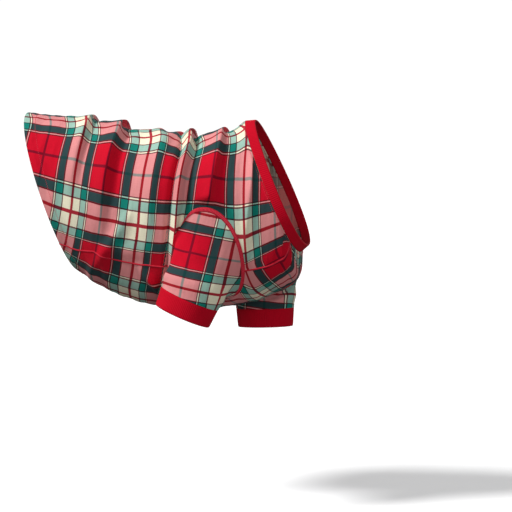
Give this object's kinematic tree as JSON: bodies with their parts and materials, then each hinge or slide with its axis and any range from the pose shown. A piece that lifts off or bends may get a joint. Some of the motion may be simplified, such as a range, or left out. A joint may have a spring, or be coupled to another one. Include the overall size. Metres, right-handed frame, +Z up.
{
  "type": "dog jumpsuit",
  "caption": "Pull-on plaid dog jumpsuit with a long back, a belly panel, short sleeves set into armholes, and ribbed cuffs and neck band, in the form it has when worn.",
  "frame": {"origin": "underside of the back panel's cloth over the withers, on the mid-plane", "axes": "+X towards the dog's head, +Y to its left side, +Z up"},
  "size_m": [0.4713, 0.2726, 0.3607],
  "materials": {
    "plaid_jersey": "matt cotton jersey with a red, cream and green tartan",
    "red_rib": "matt ribbed cotton knit"
  },
  "bodies": {
    "root": {"back_panel": "plaid_jersey", "belly_panel": "plaid_jersey", "sleeve_right": "plaid_jersey", "sleeve_left": "plaid_jersey", "cuff_right": "red_rib", "cuff_left": "red_rib", "neck_band": "red_rib"}
  },
  "joints": []
}
